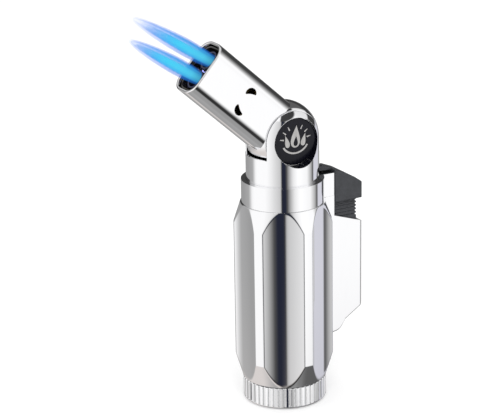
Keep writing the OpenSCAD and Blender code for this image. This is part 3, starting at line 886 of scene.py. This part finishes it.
# ---------- flames ----------
def flame_material(name, colours, alphas, across):
    """Glowing gas: colour and thickness along the flame, thinning to nothing at its outline."""
    material = bpy.data.materials.new(name)
    material.use_nodes = True
    tree = material.node_tree
    tree.nodes.clear()
    coords = put(tree, "TexCoord").outputs["Object"]
    parts = put(tree, "SeparateXYZ", {0: coords})
    along = spread(tree, parts.outputs["Z"], 0, 1, 0, 0.032)
    facing = put(tree, "LayerWeight", {"Blend": 0.5}).outputs["Facing"]
    stretch = put(tree, "VectorMath", {0: coords, 1: (700, 700, 60)}, operation="MULTIPLY").outputs[0]
    colour = ramp(tree, along, colours)
    fade = ramp(tree, along, alphas)
    soft = ramp(tree, facing, across, "EASE")
    thick = put(tree, "Math", {0: fade, 1: soft}, operation="MULTIPLY").outputs[0]
    wisps = spread(tree, noise(tree, stretch, 1, 3), .8, 1.05)
    thick = put(tree, "Math", {0: thick, 1: wisps}, operation="MULTIPLY").outputs[0]
    glow = put(tree, "Emission", {"Color": colour})
    clear = put(tree, "BsdfTransparent")
    blend = put(tree, "MixShader", {0: thick, 1: clear.outputs[0], 2: glow.outputs[0]})
    output = put(tree, "OutputMaterial")
    tree.links.new(blend.outputs[0], output.inputs[0])
    return material


HALO = flame_material(
    "flame_halo", [(0, (.02, .12, .4)), (.3, (.02, .2, .8)), (.7, (.05, .25, .9)), (1, (.35, .45, 1))],
    [(0, .5), (.4, .42), (.75, .25), (.9, .12), (1, 0)], [(0, .12), (.35, 1), (.9, 0)])
BLUE = flame_material(
    "flame_blue", [(0, (.04, .3, .5)), (.15, (.07, .5, .85)), (.5, (.05, .4, .92)),
                   (.75, (.03, .27, .9))],
    [(0, .8), (.5, .6), (.75, .35), (.9, .12), (1, 0)], [(0, .25), (.4, 1), (.9, 0)])
CORE = flame_material(
    "flame_core", [(0, (.08, .42, .48)), (.14, (.13, .85, .96)), (.42, (.05, .78, .96)),
                   (.7, (.03, .34, .9))],
    [(0, .95), (.5, .85), (.7, .4), (.85, 0)], [(0, 1), (.4, .8), (.9, 0)])
FLAME_LEAN = math.radians(57.3)


def flame(name, u, reach, wide, material, shrink=1.0, shift=0.0):
    """One shell of a staged flame from a jet. It isn't part of the object."""
    loops = []
    steps, sides = 28, 32
    for i in range(steps + 1):
        t = i / steps
        swell = 0.7 + 0.3 * math.sin(min(t * 2.4, 1) * math.pi / 2)
        r = wide * swell * (1 - t ** 2.6) ** 0.6 + .02
        aside, ahead = shift * t * (1 - t) * 4, reach * shrink * t
        loops.append([(aside + r * math.cos(a), r * .85 * math.sin(a), ahead)
                      for a in (2 * math.pi * k / sides for k in range(sides))])
    piece = lofted(name, loops)
    piece.data.shade_smooth()
    piece.data.materials.append(material)
    base = HEAD_TURN @ Vector((u, 0, HEAD_REACH - 3.5))
    piece.matrix_world = Matrix.Translation(base * MM) @ Matrix.Rotation(-FLAME_LEAN, 4, "Y")
    piece.visible_glossy = piece.visible_diffuse = piece.visible_shadow = False
    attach(piece, "head")


for label, u, reach in (("upper", 3.7, 31.5), ("lower", -2.3, 27.5)):
    flame(f"flame_{label}_halo", u, reach, 2.85, HALO)
    flame(f"flame_{label}_blue", u, reach, 2.1, BLUE, 0.97, .2)
    flame(f"flame_{label}_core", u, reach, 1.4, CORE, 0.9, -.2)


def glow():
    """The light the staged flames throw on the mouth."""
    lamp = bpy.data.lights.new("flame_glow", "POINT")
    lamp.energy, lamp.color, lamp.shadow_soft_size = 0.012, (.25, .3, 1), .0015
    piece = bpy.data.objects.new("flame_glow", lamp)
    bpy.context.scene.collection.objects.link(piece)
    piece.matrix_world = Matrix.Translation((HEAD_TURN @ Vector((0, 0, HEAD_REACH + 1))) * MM)
    piece.visible_glossy = False
    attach(piece, "head")


glow()


# ---------- stage ----------
def floor():
    half, drop = 2.5 / MM, 0.2
    piece = mesh_from("floor", [(-half, -half, 0), (half, -half, 0), (half, half, 0), (-half, half, 0)],
                      [(0, 1, 2, 3)])
    piece.location.z = -drop * MM
    material, tree, shader = blank("floor")
    at = object_coords(tree)
    link(tree, ramp(tree, noise(tree, at, .02, 2), [(.3, .96), (.7, .97)]), shader, "Base Color")
    shader.inputs["Roughness"].default_value = 0.8
    shader.inputs["Emission Color"].default_value = (1, 1, 1, 1)
    shader.inputs["Emission Strength"].default_value = 0.12
    piece.data.materials.append(material)
    piece.visible_glossy = False


floor()


VIEW_AZIMUTH, VIEW_ELEVATION, VIEW_ROLL = -30, 18.32, -0.9


def studio():
    """A studio drawn in the sky: what polished metal sees, and soft white for the rest."""
    world = bpy.data.worlds.new("studio")
    bpy.context.scene.world = world
    world.use_nodes = True
    world.cycles.sampling_method = "NONE"
    tree = world.node_tree
    tree.nodes.clear()
    coords = put(tree, "TexCoord").outputs["Generated"]
    turn = math.radians(VIEW_AZIMUTH)
    ahead, right = (math.sin(turn), -math.cos(turn), 0), (math.cos(turn), math.sin(turn), 0)
    front = put(tree, "VectorMath", {0: coords, 1: ahead}, operation="DOT_PRODUCT").outputs["Value"]
    side = put(tree, "VectorMath", {0: coords, 1: right}, operation="DOT_PRODUCT").outputs["Value"]
    angle = put(tree, "Math", {0: side, 1: front}, operation="ARCTAN2").outputs[0]
    around = put(tree, "MapRange", {"Value": angle, "From Min": -math.pi,
                                    "From Max": math.pi}).outputs[0]
    height = put(tree, "SeparateXYZ", {0: coords}).outputs["Z"]
    rise = put(tree, "Math", {0: height}, operation="ARCSINE").outputs[0]
    degrees = put(tree, "Math", {0: rise, 1: 180 / math.pi}, operation="MULTIPLY").outputs[0]

    def band(stops):
        """Greys and colours round the sky, by the angle in degrees to the right of the front."""
        return ramp(tree, around, [((a + 180) / 360, v) for a, v in stops])

    def between(low, high, start, end):
        """Fades from one band to the next over a range of heights in degrees."""
        part = put(tree, "MapRange", {"Value": degrees, "From Min": start, "From Max": end},
                   interpolation_type="SMOOTHSTEP").outputs[0]
        return put(tree, "MixRGB", {"Fac": part, "Color1": low, "Color2": high}).outputs[0]

    lavender, navy, beige = (.62, .62, .68), (.017, .02, .036), (.66, .62, .6)
    common = [(-101, .58), (-94, .86), (-86, .95), (-50, .95), (-36, .84), (-25, .72), (-8, .56),
              (-5, .45), (-3, .06), (-1, navy), (8, navy), (13, .08), (21, .4), (27, .6),
              (33, .78), (41, .9), (50, 1.0)]
    below = band([(-180, .3), (-135, .32), (-108, .38)] + common
                 + [(82, .9), (92, .62), (100, .42), (104, .26), (108, .12), (111, .12),
                    (114, lavender), (144, lavender), (150, .4), (158, .3)])
    level = band([(-180, .05), (-127, .05), (-122, .35)] + common
                 + [(84, .95), (97, .5), (110, .2), (125, .05), (180, .04)])
    upper = band([(-180, .1), (-156, .1), (-140, .6), (-110, .55)] + common
                 + [(86, .9), (100, .8), (130, .75), (143, .1), (180, .1)])
    low = band([(-180, .3), (-150, beige), (-10, beige), (4, .03), (48, .03), (58, .11), (120, .1),
                (180, .3)])
    nadir = band([(-180, .3), (-60, .36), (0, .3), (180, .3)])
    zenith = band([(-180, .8), (-30, 1.0), (-14, .9), (-6, .05), (140, .04), (152, .5), (180, .7)])
    shine = between(below, level, -3, 3)
    shine = between(low, shine, -40, -18.5)
    shine = between(nadir, shine, -58, -50)
    shine = between(shine, upper, 21, 26)
    shine = between(shine, zenith, 56, 62)
    path = put(tree, "LightPath")
    bright = put(tree, "VectorMath", {0: shine, "Scale": 1.1}, operation="SCALE").outputs[0]
    bounced = put(tree, "MixRGB", {"Fac": path.outputs["Is Diffuse Ray"], "Color1": bright,
                                   "Color2": (1, 1, 1, 1)}).outputs[0]
    seen = put(tree, "MixRGB", {"Fac": path.outputs["Is Camera Ray"], "Color1": bounced,
                                "Color2": (1, 1, 1, 1)}).outputs[0]
    output = put(tree, "OutputWorld")
    back = put(tree, "Background", {"Color": seen, "Strength": 1.0})
    tree.links.new(back.outputs[0], output.inputs[0])


studio()

key = bpy.data.lights.new("key", "AREA")
key.energy, key.size = 1.2, 0.4
lamp = bpy.data.objects.new("key", key)
bpy.context.scene.collection.objects.link(lamp)
lamp.location = (-0.25, -0.5, 0.5)
lamp.rotation_mode = "QUATERNION"
lamp.rotation_quaternion = (Vector((0, 0, .06)) - lamp.location).to_track_quat("-Z", "Y")
lamp.visible_glossy = False

bpy.context.scene.view_settings.view_transform = "Standard"

# ---------- camera ----------
azimuth, elevation = math.radians(VIEW_AZIMUTH), math.radians(VIEW_ELEVATION)
distance, sideways = 0.6, 0.00992
back = Vector((math.sin(azimuth) * math.cos(elevation), -math.cos(azimuth) * math.cos(elevation),
               math.sin(elevation)))
right = Vector((math.cos(azimuth), math.sin(azimuth), 0))
eye = bpy.data.cameras.new("camera")
eye.lens, eye.sensor_width = 143.18, 36
eye.clip_start, eye.clip_end = 0.01, 20
camera = bpy.data.objects.new("camera", eye)
bpy.context.scene.collection.objects.link(camera)
centre = Vector((0, 0, .06))
camera.location = centre + back * distance
aim = centre - right * sideways
look = (aim - camera.location).to_track_quat("-Z", "Y")
camera.rotation_mode = "QUATERNION"
roll = Matrix.Rotation(math.radians(VIEW_ROLL), 3, "Z").to_quaternion()
camera.rotation_quaternion = look @ roll
bpy.context.scene.camera = camera
